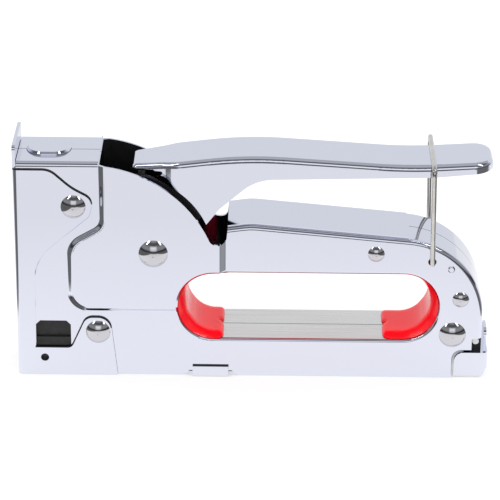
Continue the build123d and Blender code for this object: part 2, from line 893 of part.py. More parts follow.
with BuildPart() as lever_handle:
    with BuildSketch(Plane.XZ.offset(-lever_width)):
        add(lever_side(0))
    extrude(amount=2 * lever_width)
    with BuildSketch(Plane.XY):
        add(lever_plan(0))
    extrude(amount=crown_z + past, both=True, mode=Mode.INTERSECT)
    fillet(faces().sort_by(Axis.Z)[-1].edges(), lever_bend)
    with BuildSketch(Plane.XZ):
        with BuildLine():
            FilletPolyline(
                (lobe_tip_x, lobe_tip_z),
                (lobe_rear_x, lobe_rear_z),
                (web_corner_x, web_corner_z),
                (saddle_x, saddle_z - saddle_depth),
                (lever_end_x, lever_end_z - lever_end_depth),
                (lever_end_x + past, lever_end_z - lever_end_depth),
                (lever_end_x + past, lobe_tip_z - past),
                (lever_tip_x - past, lobe_tip_z - past),
                (lever_tip_x - past, lever_tip_z - tongue_depth),
                (beak_x + beak_root, lever_tip_z - tongue_depth + tongue_growth),
                (beak_x, beak_z + beak_face),
                (beak_x + beak_lean, beak_z),
                radius=[lobe_radius, web_corner_radius, saddle_radius, 0, 0, 0, 0, 0, beak_face, beak_lean],
            )
            ThreePointArc((beak_x + beak_lean, beak_z), (lobe_bow_x, lobe_bow_z), (lobe_tip_x, lobe_tip_z))
        make_face()
    extrude(amount=lever_width, both=True, mode=Mode.SUBTRACT)
    add(lever_hollow.part, mode=Mode.SUBTRACT)
lever_handle.part.label = "lever_handle"
export_step(lever_handle.part, "parts/lever_handle.step")

# Lift arm: two cheeks inside the lever, a hub on the pivot and a finger into the striker
arm_half = arm_width / 2
rest_angle = radians(squeeze_angle / 2)
finger_x = pivot_x - arm_reach * cos(rest_angle)
finger_z = pivot_z - arm_reach * sin(rest_angle)
bush_outer = pivot_shank + 2 * shank_gap + 2 * bush_wall
with BuildPart() as lift_arm:
    with BuildSketch(Plane.XZ.offset(arm_half - arm_cheek)):
        with BuildLine():
            FilletPolyline(
                (lever_tip_x + cheek_front, cheek_front_z),
                (beak_x - cheek_beak, cheek_beak_z),
                (neck_x + cheek_bow, cheek_bow_z),
                (neck_x + cheek_bow, cheek_top_z),
                (neck_x + cheek_top, cheek_top_z),
                (lobe_tip_x + cheek_rear, cheek_rear_z),
                (lobe_tip_x - cheek_heel, cheek_heel_z),
                (pivot_x + cheek_foot, pivot_z - cheek_below),
                (pivot_x - cheek_foot, pivot_z - cheek_below),
                (pivot_x - cheek_waist, cheek_waist_z),
                (pivot_x - cheek_waist, cheek_shoulder_z),
                radius=[2, 1, 0.2, 1, 3, 4, 2, 5, 5, 8, 6],
                close=True,
            )
        make_face()
    extrude(amount=arm_cheek)
    mirror(about=Plane.XZ)
    with BuildSketch(Plane.XZ):
        add(discs([(pivot_x, pivot_z)], 2 * hub_radius))
        with Locations((pivot_x - spacer_front, spacer_z)):
            Rectangle(arm_cheek, spacer_high)
    extrude(amount=arm_half - arm_cheek, both=True)
    with BuildSketch(Plane.XZ):
        add(discs([(finger_x, finger_z)], finger_depth))
        add(discs([(pivot_x, pivot_z)], 2 * finger_depth))
        make_hull()
    extrude(amount=finger_width / 2, both=True)
    with BuildSketch(Plane.XZ):
        add(discs([(pivot_x, pivot_z)], bush_outer + 2 * bush_gap))
    extrude(amount=body_width, both=True, mode=Mode.SUBTRACT)
lift_arm.part.label = "lift_arm"
export_step(lift_arm.part, "parts/lift_arm.step")

# Bush between the lift arm and the pivot rivet
with BuildPart() as arm_bush:
    with BuildSketch(Plane.XZ):
        add(discs([(pivot_x, pivot_z)], bush_outer))
        add(discs([(pivot_x, pivot_z)], pivot_shank + 2 * shank_gap), mode=Mode.SUBTRACT)
    extrude(amount=panel_half - shell_sheet - free_gap, both=True)
arm_bush.part.label = "arm_bush"
export_step(arm_bush.part, "parts/arm_bush.step")

# Striker that the main spring drives down, with a slot for the finger and one for the blade
blade_front = nose_x + cover_sheet + (blade_channel - blade_thickness) / 2
striker_low = bumper_high + window_gap
blade_tab_rear = striker_front + blade_tab
with BuildPart() as striker:
    with BuildSketch(Plane.XZ):
        with Locations(((striker_front + striker_rear) / 2, (striker_low + striker_high) / 2)):
            Rectangle(striker_rear - striker_front, striker_high - striker_low)
        with BuildLine(mode=Mode.PRIVATE) as finger_slot:
            FilletPolyline(
                (finger_x - finger_depth / 2 - free_gap, finger_z - striker_slot / 2),
                (finger_x - finger_depth / 2 - free_gap, finger_z + striker_slot / 2),
                (striker_rear + past, finger_z + striker_slot / 2),
                (striker_rear + past, finger_z - striker_slot / 2),
                radius=[striker_slot_corner, striker_slot_corner, 0, 0],
                close=True,
            )
        make_face(finger_slot.line, mode=Mode.SUBTRACT)
        with Locations((striker_front, blade_high - blade_thickness / 2)):
            Rectangle(2 * (blade_tab + shank_gap), blade_thickness + 2 * shank_gap, mode=Mode.SUBTRACT)
    extrude(amount=striker_width / 2, both=True)
    chamfer(edges().filter_by(Axis.Z), striker_chamfer)
    with BuildSketch(Plane.XY.offset(striker_high)):
        with Locations((spring_x, 0)):
            Circle(spring_outer / 2 - spring_wire - free_gap)
    extrude(amount=spigot_height)
striker.part.label = "striker"
export_step(striker.part, "parts/striker.step")

# Driver blade, with a tab bent back into the striker
with BuildPart() as driver_blade:
    with BuildSketch(Plane.XY.offset(blade_low)):
        with Locations((blade_front + blade_thickness / 2, 0)):
            Rectangle(blade_thickness, blade_width)
    extrude(amount=blade_high - blade_low)
    with BuildSketch(Plane.XY.offset(blade_high - blade_thickness)):
        with Locations(((blade_front + blade_tab_rear) / 2, 0)):
            Rectangle(blade_tab_rear - blade_front, blade_tab_width)
    extrude(amount=blade_thickness)
driver_blade.part.label = "driver_blade"
export_step(driver_blade.part, "parts/driver_blade.step")

# Main spring between the striker and the spring cap
main_height = cap_plate_low - striker_high - spring_wire
with BuildPart() as main_spring:
    with Locations((spring_x, 0, striker_high + spring_wire / 2)):
        add(coil(spring_turns, spring_steps, main_height, (spring_outer - spring_wire) / 2, spring_wire))
main_spring.part.label = "main_spring"
export_step(main_spring.part, "parts/main_spring.step")

# Magazine rail: a channel open below, with a slot along its top and a closed front
rail_front = shell_front + free_gap
rail_rear = rear_x - cap_sheet - plug_length - rail_end_gap
with BuildPart() as magazine_rail:
    with BuildSketch(Plane.YZ.offset(rail_front)):
        with Locations((0, (rail_low + rail_high) / 2)):
            Rectangle(rail_width, rail_high - rail_low)
        with Locations((0, (rail_low + rail_high) / 2 - rail_sheet)):
            Rectangle(rail_width - 2 * rail_sheet, rail_high - rail_low, mode=Mode.SUBTRACT)
    extrude(amount=rail_rear - rail_front)
    with BuildSketch(Plane.YZ.offset(rail_front)):
        with Locations((0, (rail_low + rail_high) / 2)):
            Rectangle(rail_width, rail_high - rail_low)
    extrude(amount=rail_sheet)
    with BuildSketch(Plane.XY.offset(rail_high)):
        with Locations(((rail_front + rail_slot_front + rail_rear - rail_slot_rear) / 2, 0)):
            SlotOverall(rail_rear - rail_front - rail_slot_front - rail_slot_rear, rail_slot)
    extrude(amount=-2 * rail_sheet, mode=Mode.SUBTRACT)
magazine_rail.part.label = "magazine_rail"
export_step(magazine_rail.part, "parts/magazine_rail.step")

# Rod that guides the pusher spring
with BuildPart() as guide_rod:
    with BuildSketch(Plane.YZ.offset(rail_front + rail_sheet)):
        with Locations((0, rod_z)):
            Circle(rod_diameter / 2)
    extrude(amount=rail_rear - rail_front - rail_sheet)
guide_rod.part.label = "guide_rod"
export_step(guide_rod.part, "parts/guide_rod.step")

# Block that joins the rail and the rod to the rear cap
with BuildPart() as rail_plug:
    with BuildSketch(Plane.YZ.offset(rail_rear)):
        with Locations((0, (track_sheet + cap_height - cap_sheet) / 2)):
            Rectangle(body_width - 2 * cap_sheet, cap_height - cap_sheet - track_sheet)
    extrude(amount=plug_length)
    chamfer(edges().filter_by(Axis.X), plug_chamfer)
rail_plug.part.label = "rail_plug"
export_step(rail_plug.part, "parts/rail_plug.step")

# Rear cap: folded sheet with a finger tongue behind and two lugs for the latch pin
lug_rear = latch_pin_x + latch_pin_diameter / 2 + latch_lug_wall
lug_front = latch_pin_x - latch_pin_diameter / 2 - latch_lug_wall
lug_high = latch_pin_z + latch_pin_diameter / 2 + latch_lug_wall
with BuildPart() as rear_cap:
    with BuildSketch(Plane.XZ):
        with BuildLine():
            FilletPolyline(
                (cap_front, 0),
                (cap_front, cap_height),
                (rear_x, cap_height),
                (rear_x, cap_heel_high),
                (rear_x - cap_heel_run, 0),
                radius=[0, cap_corner, 0, 2, 1],
                close=True,
            )
        make_face()
    extrude(amount=half_width, both=True)
    fillet(edges().filter_by(Axis.Z).sort_by(Axis.X)[-2:], cover_bend)
    with BuildSketch(Plane.XZ):
        with BuildLine():
            Polyline(
                (cap_front - past, -edge_margin),
                (cap_front - past, cap_height + past),
                (cap_front + cap_corner, cap_height + past),
                (cap_front + cap_corner, cap_height - cap_sheet),
                (rear_x - cap_sheet, cap_height - cap_sheet),
                (rear_x - cap_sheet, cap_heel_high),
                (rear_x - cap_sheet - cap_heel_run, -edge_margin),
                close=True,
            )
        make_face()
    extrude(amount=half_width - cap_sheet, both=True, mode=Mode.SUBTRACT)
    with BuildSketch(Plane.YZ.offset(rear_x - cap_sheet)):
        with BuildLine():
            FilletPolyline(
                (-cap_tongue_width / 2, cap_height - cap_sheet),
                (-cap_tongue_width / 2, cap_tongue_high),
                (cap_tongue_width / 2, cap_tongue_high),
                (cap_tongue_width / 2, cap_height - cap_sheet),
                radius=[0, cap_tongue_corner, cap_tongue_corner, 0],
                close=True,
            )
        make_face()
    extrude(amount=cap_sheet)
    with BuildSketch(Plane.XZ.offset(latch_span / 2 - latch_lug)):
        with Locations(((lug_front + lug_rear) / 2, (cap_height + lug_high) / 2)):
            Rectangle(lug_rear - lug_front, lug_high - cap_height)
        add(discs([(latch_pin_x, latch_pin_z)], latch_pin_diameter + 2 * bush_gap), mode=Mode.SUBTRACT)
    lug = extrude(amount=latch_lug)
    mirror(lug, about=Plane.XZ)
rear_cap.part.label = "rear_cap"
export_step(rear_cap.part, "parts/rear_cap.step")

# Latch pin between the two lugs
with BuildPart() as latch_pin:
    with BuildSketch(Plane.XZ):
        add(discs([(latch_pin_x, latch_pin_z)], latch_pin_diameter))
    extrude(amount=latch_span / 2 + latch_pin_end, both=True)
latch_pin.part.label = "latch_pin"
export_step(latch_pin.part, "parts/latch_pin.step")

# Pusher: a saddle over the rail with a lug that rides on the rod
pusher_front = rail_front + pusher_start
saddle_inner = rail_width / 2 + pusher_gap
saddle_roof = rail_high + fit_gap
lug_start = pusher_front + lug_setback
with BuildPart() as pusher:
    with BuildSketch(Plane.YZ.offset(pusher_front)):
        with Locations((0, (rail_low + saddle_roof + pusher_sheet) / 2)):
            Rectangle(2 * (saddle_inner + pusher_sheet), saddle_roof + pusher_sheet - rail_low)
        with Locations((0, saddle_roof / 2)):
            Rectangle(2 * saddle_inner, saddle_roof, mode=Mode.SUBTRACT)
    extrude(amount=pusher_length)
    with BuildSketch(Plane.YZ.offset(lug_start)):
        with Locations((0, (rod_z + saddle_roof) / 2)):
            Rectangle(rail_slot - 2 * free_gap, saddle_roof - rod_z)
        with Locations((0, rod_z)):
            Circle(lug_diameter / 2)
            Circle(rod_diameter / 2 + shank_gap, mode=Mode.SUBTRACT)
    extrude(amount=lug_length)
pusher.part.label = "pusher"
export_step(pusher.part, "parts/pusher.step")

# Pusher spring on the rod, from the lug to the plug
feed_start = lug_start + lug_length
feed_height = rail_rear - feed_start - feed_wire
with BuildPart() as pusher_spring:
    with Locations(Location((feed_start + feed_wire / 2, 0, rod_z), (0, 90, 0))):
        add(coil(feed_turns, feed_steps, feed_height, (lug_diameter - feed_wire) / 2, feed_wire))
pusher_spring.part.label = "pusher_spring"
export_step(pusher_spring.part, "parts/pusher_spring.step")

# Wire bail that locks the lever down
bail_bar_z = saddle_z + bail_wire / 2 + fit_gap
with BuildPart() as lock_bail:
    with BuildLine() as bail_path:
        FilletPolyline(
            (bail_x, -bail_foot / 2 + bail_peg, bail_z),
            (bail_x, -bail_foot / 2, bail_z),
            (saddle_x, -bail_span / 2, bail_bar_z),
            (saddle_x, bail_span / 2, bail_bar_z),
            (bail_x, bail_foot / 2, bail_z),
            (bail_x, bail_foot / 2 - bail_peg, bail_z),
            radius=[0, bail_bend, bail_bend, 0],
        )
    with BuildSketch(Plane(origin=bail_path.line @ 0, z_dir=bail_path.line % 0)):
        Circle(bail_wire / 2)
    sweep(path=bail_path.line, transition=Transition.RIGHT)
lock_bail.part.label = "lock_bail"
export_step(lock_bail.part, "parts/lock_bail.step")
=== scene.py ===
"""Hand staple gun: finishes, soft liner, round-wire springs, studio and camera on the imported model."""

import json
from math import cos, exp, pi, radians, sin

import bmesh
import bpy
from mathutils import Matrix, Vector

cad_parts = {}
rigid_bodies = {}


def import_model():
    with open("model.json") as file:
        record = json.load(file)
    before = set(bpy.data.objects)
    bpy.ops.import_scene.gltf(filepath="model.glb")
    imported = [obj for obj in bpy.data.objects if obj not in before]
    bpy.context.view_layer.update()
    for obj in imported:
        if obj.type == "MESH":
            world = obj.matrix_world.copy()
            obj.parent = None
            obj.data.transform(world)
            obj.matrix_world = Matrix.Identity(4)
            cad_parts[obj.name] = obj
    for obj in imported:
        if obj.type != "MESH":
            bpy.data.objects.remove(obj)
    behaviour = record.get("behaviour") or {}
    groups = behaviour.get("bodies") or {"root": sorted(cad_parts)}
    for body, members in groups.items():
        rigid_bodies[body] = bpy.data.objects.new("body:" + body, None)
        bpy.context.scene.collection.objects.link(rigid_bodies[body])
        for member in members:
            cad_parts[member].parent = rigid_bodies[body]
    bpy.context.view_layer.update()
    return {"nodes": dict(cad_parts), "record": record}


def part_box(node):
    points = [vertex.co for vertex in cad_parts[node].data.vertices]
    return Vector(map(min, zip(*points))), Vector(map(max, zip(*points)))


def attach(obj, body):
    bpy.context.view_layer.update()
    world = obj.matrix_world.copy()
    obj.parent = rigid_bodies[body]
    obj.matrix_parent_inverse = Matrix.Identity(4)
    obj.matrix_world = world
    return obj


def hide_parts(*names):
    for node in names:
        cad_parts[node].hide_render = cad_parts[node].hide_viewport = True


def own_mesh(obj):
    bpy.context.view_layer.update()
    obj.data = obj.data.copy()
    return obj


for old in list(bpy.data.objects):
    bpy.data.objects.remove(old)
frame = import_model()
nodes = frame["nodes"]

# Shader helpers
cool = (0.98, 1.0, 1.03)


def link(tree, *pairs):
    """Join pairs of sockets, from the first of each pair to the second."""
    for source, target in pairs:
        tree.links.new(source, target)


def number(tree, kind, first, second=None):
    """Add a maths node with sockets or plain numbers as its inputs."""
    made = tree.nodes.new("ShaderNodeMath")
    made.operation = kind
    for socket, value in zip(made.inputs, (first, second)):
        if isinstance(value, (int, float)):
            socket.default_value = value
        elif value is not None:
            link(tree, (value, socket))
    return made.outputs["Value"]


def split(tree, vector):
    """Give the x, y and z of a vector."""
    made = tree.nodes.new("ShaderNodeSeparateXYZ")
    link(tree, (vector, made.inputs["Vector"]))
    return made.outputs["X"], made.outputs["Y"], made.outputs["Z"]


def spread(tree, value, low, high, start=0.3, end=0.7):
    """Go evenly from low to high while a value goes from start to end."""
    made = tree.nodes.new("ShaderNodeMapRange")
    made.inputs["From Min"].default_value = start
    made.inputs["From Max"].default_value = end
    made.inputs["To Min"].default_value = low
    made.inputs["To Max"].default_value = high
    link(tree, (value, made.inputs["Value"]))
    return made.outputs["Result"]


def ease(tree, value, start, end):
    """Go smoothly from 0 to 1 while a value goes from start to end."""
    made = tree.nodes.new("ShaderNodeMapRange")
    made.interpolation_type = "SMOOTHSTEP"
    made.inputs["From Min"].default_value = start
    made.inputs["From Max"].default_value = end
    link(tree, (value, made.inputs["Value"]))
    return made.outputs["Result"]


def blend(tree, share, first, second):
    """Mix two colours, given as sockets or plain colours."""
    made = tree.nodes.new("ShaderNodeMix")
    made.data_type = "RGBA"
    link(tree, (share, made.inputs["Factor"]))
    for socket, value in ((made.inputs["A"], first), (made.inputs["B"], second)):
        if isinstance(value, tuple):
            socket.default_value = (*value, 1)
        else:
            link(tree, (value, socket))
    return made.outputs["Result"]


def tint(tree, value, low, high, start=0.3, end=0.7):
    """Map a texture value onto a range of colours."""
    made = tree.nodes.new("ShaderNodeValToRGB")
    ramp = made.color_ramp
    for element, position, colour in zip(ramp.elements, (start, end), (low, high)):
        element.position = position
        element.color = (*colour, 1)
    link(tree, (value, made.inputs["Fac"]))
    return made.outputs["Color"]


def levels(tree, value, stops):
    """Map the sine of an elevation onto cool greys, given as stops of a sine and a grey."""
    made = tree.nodes.new("ShaderNodeValToRGB")
    ramp = made.color_ramp
    while len(ramp.elements) < len(stops):
        ramp.elements.new(0.5)
    for element, (height, _) in zip(ramp.elements, stops):
        element.position = (height + 1) / 2
    for element, (_, grey) in zip(ramp.elements, stops):
        element.color = (*(grey * part for part in cool), 1)
    link(tree, (spread(tree, value, 0, 1, -1, 1), made.inputs["Fac"]))
    return made.outputs["Color"]


def noise(tree, where, scale, detail, stretch=None):
    """Add a noise texture in object space, stretched if asked, and return its value."""
    if stretch is not None:
        turn = tree.nodes.new("ShaderNodeMapping")
        turn.inputs["Scale"].default_value = stretch
        link(tree, (where, turn.inputs["Vector"]))
        where = turn.outputs["Vector"]
    made = tree.nodes.new("ShaderNodeTexNoise")
    made.inputs["Scale"].default_value = scale
    made.inputs["Detail"].default_value = detail
    link(tree, (where, made.inputs["Vector"]))
    return made.outputs["Fac"]


def material(name, colour, metallic, roughness):
    """Make a Principled material and return it with its nodes, its shader and the object position."""
    made = bpy.data.materials.new(name)
    made.use_nodes = True
    tree = made.node_tree
    shader = tree.nodes["Principled BSDF"]
    shader.inputs["Base Color"].default_value = (*colour, 1)
    shader.inputs["Metallic"].default_value = metallic
    shader.inputs["Roughness"].default_value = roughness
    return made, tree, shader, tree.nodes.new("ShaderNodeTexCoord").outputs["Object"]


def polish(tree, shader, value, low, high):
    """Let a texture value vary the roughness from low to high."""
    link(tree, (spread(tree, value, low, high), shader.inputs["Roughness"]))


def relief(tree, shader, value, height):
    """Add a bump over what the shader has, from a texture value and its height in metres."""
    made = tree.nodes.new("ShaderNodeBump")
    made.inputs["Distance"].default_value = height
    link(tree, (value, made.inputs["Height"]))
    for before in shader.inputs["Normal"].links:
        link(tree, (before.from_socket, made.inputs["Normal"]))
    link(tree, (made.outputs["Normal"], shader.inputs["Normal"]))


# Chrome plate on pressed sheet: polishing haze, faint waves of the press
chrome = (0.75, 0.765, 0.865)


def plated(name):
    """Make smooth chrome plate."""
    made, tree, shader, where = material(name, chrome, metallic=1.0, roughness=0.05)
    polish(tree, shader, noise(tree, where, scale=55, detail=4), low=0.035, high=0.085)
    return made, tree, shader, where


def pressed(name):
    """Make chrome plate with the waves of the press."""
    made, tree, shader, where = plated(name)
    relief(tree, shader, noise(tree, where, scale=38, detail=1), height=0.00008)
    relief(tree, shader, noise(tree, where, scale=260, detail=2), height=0.000006)
    return made, tree, shader, where


chrome_body = pressed("chrome_body")[0]

# The same plate with a dark seam where the two half shells meet
seam_dark = (0.10, 0.10, 0.11)
seam_half = 0.00012


def seam(tree, where, plain):
    """Darken a colour along the line where the two half shells meet."""
    _, y, _ = split(tree, where)
    off_line = spread(tree, number(tree, "ABSOLUTE", y), 0, 1, seam_half, 2 * seam_half)
    return blend(tree, off_line, seam_dark, plain)


chrome_seam, tree, shader, where = pressed("chrome_seam")
link(tree, (seam(tree, where, chrome), shader.inputs["Base Color"]))

# Step of the raised panel: plate whose normal leans at both bends, with painted shade at its low front corner
# and its rear
step_foot = 0.0130
step_top = 0.0142
painted_step_shade = (0.08, 0.08, 0.09)
bend_lean = 4.5
bend_power = 4
slope_lean = -0.3
corner_facing = (-0.06, -0.16)
rear_facing = (0.15, 0.35)
rear_shade_share = 0.75
chrome_step, tree, shader, where = plated("chrome_step")
_, y, _ = split(tree, where)
climb = spread(tree, number(tree, "ABSOLUTE", y), -1, 1, step_foot, step_top)
bend = number(tree, "POWER", number(tree, "ABSOLUTE", climb), bend_power)
flatten = number(tree, "ADD", number(tree, "MULTIPLY", bend, bend_lean), slope_lean)
lean = tree.nodes.new("ShaderNodeCombineXYZ")
bent = tree.nodes.new("ShaderNodeVectorMath")
bent.operation = "ADD"
level = tree.nodes.new("ShaderNodeVectorMath")
level.operation = "NORMALIZE"
facing = tree.nodes.new("ShaderNodeNewGeometry").outputs["Normal"]
link(
    tree,
    (number(tree, "MULTIPLY", number(tree, "SIGN", y), flatten), lean.inputs["Y"]),
    (facing, bent.inputs[0]),
    (lean.outputs["Vector"], bent.inputs[1]),
    (bent.outputs["Vector"], level.inputs[0]),
    (level.outputs["Vector"], shader.inputs["Normal"]),
)
# Painted shade: darker where the step faces down and to the front end, and where it faces the rear
x, _, z = split(tree, facing)
low_corner_shade = number(tree, "MULTIPLY", ease(tree, x, *corner_facing), ease(tree, z, *corner_facing))
rear_step_shade = number(tree, "MULTIPLY", ease(tree, x, *rear_facing), rear_shade_share)
shaded = number(tree, "MAXIMUM", low_corner_shade, rear_step_shade)
link(tree, (blend(tree, shaded, chrome, painted_step_shade), shader.inputs["Base Color"]))

# Inner wall of the finger loop: rolled sheet, not polished, with the same seam
rolled = (0.78, 0.77, 0.76)
loop_wall, tree, shader, where = material("loop_wall", rolled, metallic=1.0, roughness=0.3)
grain = noise(tree, where, scale=1100, detail=2, stretch=(0.03, 1, 1))
polish(tree, shader, grain, low=0.22, high=0.38)
link(tree, (seam(tree, where, rolled), shader.inputs["Base Color"]))
relief(tree, shader, grain, height=0.000008)

# Plated rivet heads
rivet_plate = (0.62, 0.612, 0.645)
chrome_rivet, tree, shader, where = material("chrome_rivet", rivet_plate, metallic=1.0, roughness=0.07)
polish(tree, shader, noise(tree, where, scale=420, detail=3), low=0.05, high=0.12)
relief(tree, shader, noise(tree, where, scale=500, detail=2), height=0.000008)

# Zinc plated sheet and bar, rolled along the tool
bright_steel, tree, shader, where = material("bright_steel", (0.66, 0.67, 0.68), metallic=1.0, roughness=0.25)
grain = noise(tree, where, scale=900, detail=2, stretch=(0.06, 1, 1))
clouds = noise(tree, where, scale=120, detail=4)
polish(tree, shader, grain, low=0.18, high=0.34)
mottled = tint(tree, clouds, low=(0.60, 0.61, 0.62), high=(0.72, 0.73, 0.74))
link(tree, (mottled, shader.inputs["Base Color"]))
relief(tree, shader, grain, height=0.000006)

# Drawn wire
wire_steel, tree, shader, where = material("wire_steel", (0.66, 0.65, 0.62), metallic=1.0, roughness=0.2)
clouds = noise(tree, where, scale=200, detail=3)
polish(tree, shader, noise(tree, where, scale=900, detail=3), low=0.13, high=0.28)
mottled = tint(tree, clouds, low=(0.60, 0.59, 0.56), high=(0.72, 0.71, 0.68))
link(tree, (mottled, shader.inputs["Base Color"]))
relief(tree, shader, noise(tree, where, scale=1500, detail=2), height=0.000005)

# Plain die casting
cast_zinc, tree, shader, where = material("cast_zinc", (0.58, 0.59, 0.60), metallic=1.0, roughness=0.45)
polish(tree, shader, noise(tree, where, scale=700, detail=4), low=0.35, high=0.55)
relief(tree, shader, noise(tree, where, scale=1200, detail=4), height=0.00003)

# Blackened steel, satin
blackened = (0.012, 0.012, 0.014)
black_steel, tree, shader, where = material("black_steel", blackened, metallic=0.0, roughness=0.35)
polish(tree, shader, noise(tree, where, scale=600, detail=4), low=0.28, high=0.45)
relief(tree, shader, noise(tree, where, scale=1800, detail=3), height=0.00001)

# Inside of the pressings, painted near black as shade, with a painted dark red reflection over the front end
# of the loop
inside_shade = (0.02, 0.02, 0.022)
inside_shade_metallic = 0.6
painted_red_reflection = (0.55, 0.004, 0.04)
reflection_front = (-0.0190, -0.0166)
reflection_rear = (-0.0132, -0.0148)
reflection_foot = (0.0400, 0.0455)
shade_and_reflection_inside, tree, shader, where = material("shade_and_reflection_inside", inside_shade, inside_shade_metallic, roughness=0.4)
# Painted dark red reflection: red and not metallic over the front end of the loop, above its foot
x, _, z = split(tree, where)
along = number(tree, "MULTIPLY", ease(tree, x, *reflection_front), ease(tree, x, *reflection_rear))
reflection_share = number(tree, "MULTIPLY", along, ease(tree, z, *reflection_foot))
link(
    tree,
    (blend(tree, reflection_share, inside_shade, painted_red_reflection), shader.inputs["Base Color"]),
    (spread(tree, reflection_share, inside_shade_metallic, 0, 0, 1), shader.inputs["Metallic"]),
)
polish(tree, shader, noise(tree, where, scale=300, detail=4), low=0.35, high=0.55)
relief(tree, shader, noise(tree, where, scale=900, detail=3), height=0.00002)

# Bearing bronze
bronze, tree, shader, where = material("bronze", (0.55, 0.38, 0.18), metallic=1.0, roughness=0.3)
polish(tree, shader, noise(tree, where, scale=800, detail=3), low=0.22, high=0.4)
relief(tree, shader, noise(tree, where, scale=1500, detail=3), height=0.00001)

# Moulded rubber
rubber = (0.012, 0.012, 0.012)
black_rubber, tree, shader, where = material("black_rubber", rubber, metallic=0.0, roughness=0.5)
polish(tree, shader, noise(tree, where, scale=500, detail=4), low=0.42, high=0.6)
relief(tree, shader, noise(tree, where, scale=1600, detail=4), height=0.00003)

# Glossy moulded plastic
red_plastic, tree, shader, where = material("red_plastic", (0.98, 0.006, 0.016), metallic=0.0, roughness=0.2)
polish(tree, shader, noise(tree, where, scale=160, detail=3), low=0.14, high=0.28)
relief(tree, shader, noise(tree, where, scale=220, detail=2), height=0.00002)

finishes = {
    "chrome_body": chrome_body,
    "chrome_rivet": chrome_rivet,
    "bright_steel": bright_steel,
    "wire_steel": wire_steel,
    "cast_zinc": cast_zinc,
    "black_steel": black_steel,
    "bronze": bronze,
    "black_rubber": black_rubber,
    "red_plastic": red_plastic,
}

for part in frame["record"]["subparts"]:
    piece = nodes[part["node"]]
    piece.data.materials.clear()
    piece.data.materials.append(finishes[part["material_slot"]])

# Faces of the shells: plate, plate with the seam, inside painted near black as shade, wall of the loop, step
# of the panel
loop_edge = 0.0012
lap_low = 0.055
lap_high = 0.062
lap_rear = 0.0562
facing_in = -0.3
least_slope = 0.3
most_slope = 0.985
wall_side_on = 0.1
plate_side_on = 0.5
on_plate, on_seam, on_inside, on_wall, on_step = range(5)
liner_low, liner_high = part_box("grip_liner")
loop_middle = (liner_low + liner_high) / 2
loop_half = (liner_high - liner_low) / 2


def shell_finish(face, outward):
    """Choose the finish of a shell's face, from its place and the way it faces."""
    spot = face.center - loop_middle
    side_on = abs(face.normal.y)
    round_loop = abs(spot.x) < loop_half.x + loop_edge and abs(spot.z) < loop_half.z + loop_edge
    to_loop = face.normal.x * spot.x + face.normal.z * spot.z < 0
    lapped = lap_low < face.center.z < lap_high and face.center.x < lap_rear
    sloped = abs(face.center.y) > step_foot and least_slope < side_on < most_slope
    if outward * face.normal.y < facing_in:
        return on_inside
    if sloped and not round_loop:
        return on_step
    if round_loop and to_loop:
        return on_wall if side_on < wall_side_on else on_plate
    if side_on > plate_side_on or lapped:
        return on_plate
    return on_seam


for name, outward in (("left_shell", -1), ("right_shell", 1)):
    mesh = nodes[name].data
    for finish in (chrome_seam, shade_and_reflection_inside, loop_wall, chrome_step):
        mesh.materials.append(finish)
    for face in mesh.polygons:
        face.material_index = shell_finish(face, outward)

# Upper cut edges of the cover's wings, painted near black as shade
wing_side = 0.0125
wing_facing_up = 0.1
wing_side_on = 0.95
mesh = nodes["front_cover"].data
mesh.materials.append(shade_and_reflection_inside)
for face in mesh.polygons:
    cut_edge = face.normal.z > wing_facing_up and abs(face.normal.y) < wing_side_on
    if cut_edge and abs(face.center.y) > wing_side:
        face.material_index = 1

# Ears of the track, plated like the shells, with their cut edges painted near black as shade
ear_side = 0.0115
ear_side_on = 0.7
mesh = nodes["magazine_track"].data
for finish in (chrome_body, shade_and_reflection_inside):
    mesh.materials.append(finish)
for face in mesh.polygons:
    if abs(face.center.y) > ear_side:
        face.material_index = 1 if abs(face.normal.y) > ear_side_on else 2

# Lugs of the rear cap, painted near black as shade, like the inside
lug_drop = 0.0016
lug_back = 0.0012
pin_low, pin_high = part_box("latch_pin")
mesh = nodes["rear_cap"].data
mesh.materials.append(shade_and_reflection_inside)
for face in mesh.polygons:
    if face.center.z > pin_low.z - lug_drop and face.center.x < pin_high.x + lug_back:
        face.material_index = 1

# Red liner: a cushion at each end of the loop, joined by a thin strip over the top
pad_thick = 0.0029
end_thick = 0.0016
strip_thick = 0.00035
film_thick = 0.0001
pad_ends = (-0.01075, 0.04755)
pad_tops = (radians(46), radians(82))
pad_fade = 1.7
swelling = radians(50)
panel_rear = -0.00995
panel_half = 0.0133
plain_half = 0.0120
pad_flank = 0.0042
flank_power = 1.7
pad_round = 0.0017
round_power = 3
pad_notch = 0.0014
notch_width = 0.0011
crease = radians(50)
end_steps = 16
end_power = 0.6
arc_steps = 45
top_steps = 12
half_steps = 16


def ring_stations():
    """List places round the loop, from the front pad's end over the top to the rear pad's end.

    Each is an x, a share of the way on to the pad's end, a z, the direction to the wall and a thickness.
    """
    radius = (liner_high.z - liner_low.z) / 2
    middle = (liner_high.z + liner_low.z) / 2
    centres = (liner_low.x + radius, liner_high.x - radius)
    ends = []
    for centre, outward, top in zip(centres, (-1, 1), pad_tops):
        shares = [(1 - i / end_steps) ** end_power for i in range(end_steps)]
        end = [(centre, share, liner_low.z, 0, -1, end_thick) for share in shares]
        for i in range(arc_steps):
            angle = radians(180 * i / arc_steps - 90)
            swell = min(1, (angle + radians(90)) / swelling)
            fade = 1 - min(1, max(0, angle / top)) ** pad_fade
            thick = film_thick + (end_thick + (pad_thick - end_thick) * swell - film_thick) * fade
            across, up = outward * cos(angle), sin(angle)
            end.append((centre + radius * across, 0, middle + radius * up, across, up, thick))
        ends.append(end)
    span = centres[1] - centres[0]
    steps = range(top_steps + 1)
    top = [(centres[0] + span * i / top_steps, 0, liner_high.z, 0, 1, strip_thick) for i in steps]
    return ends[0] + top + ends[1][::-1]


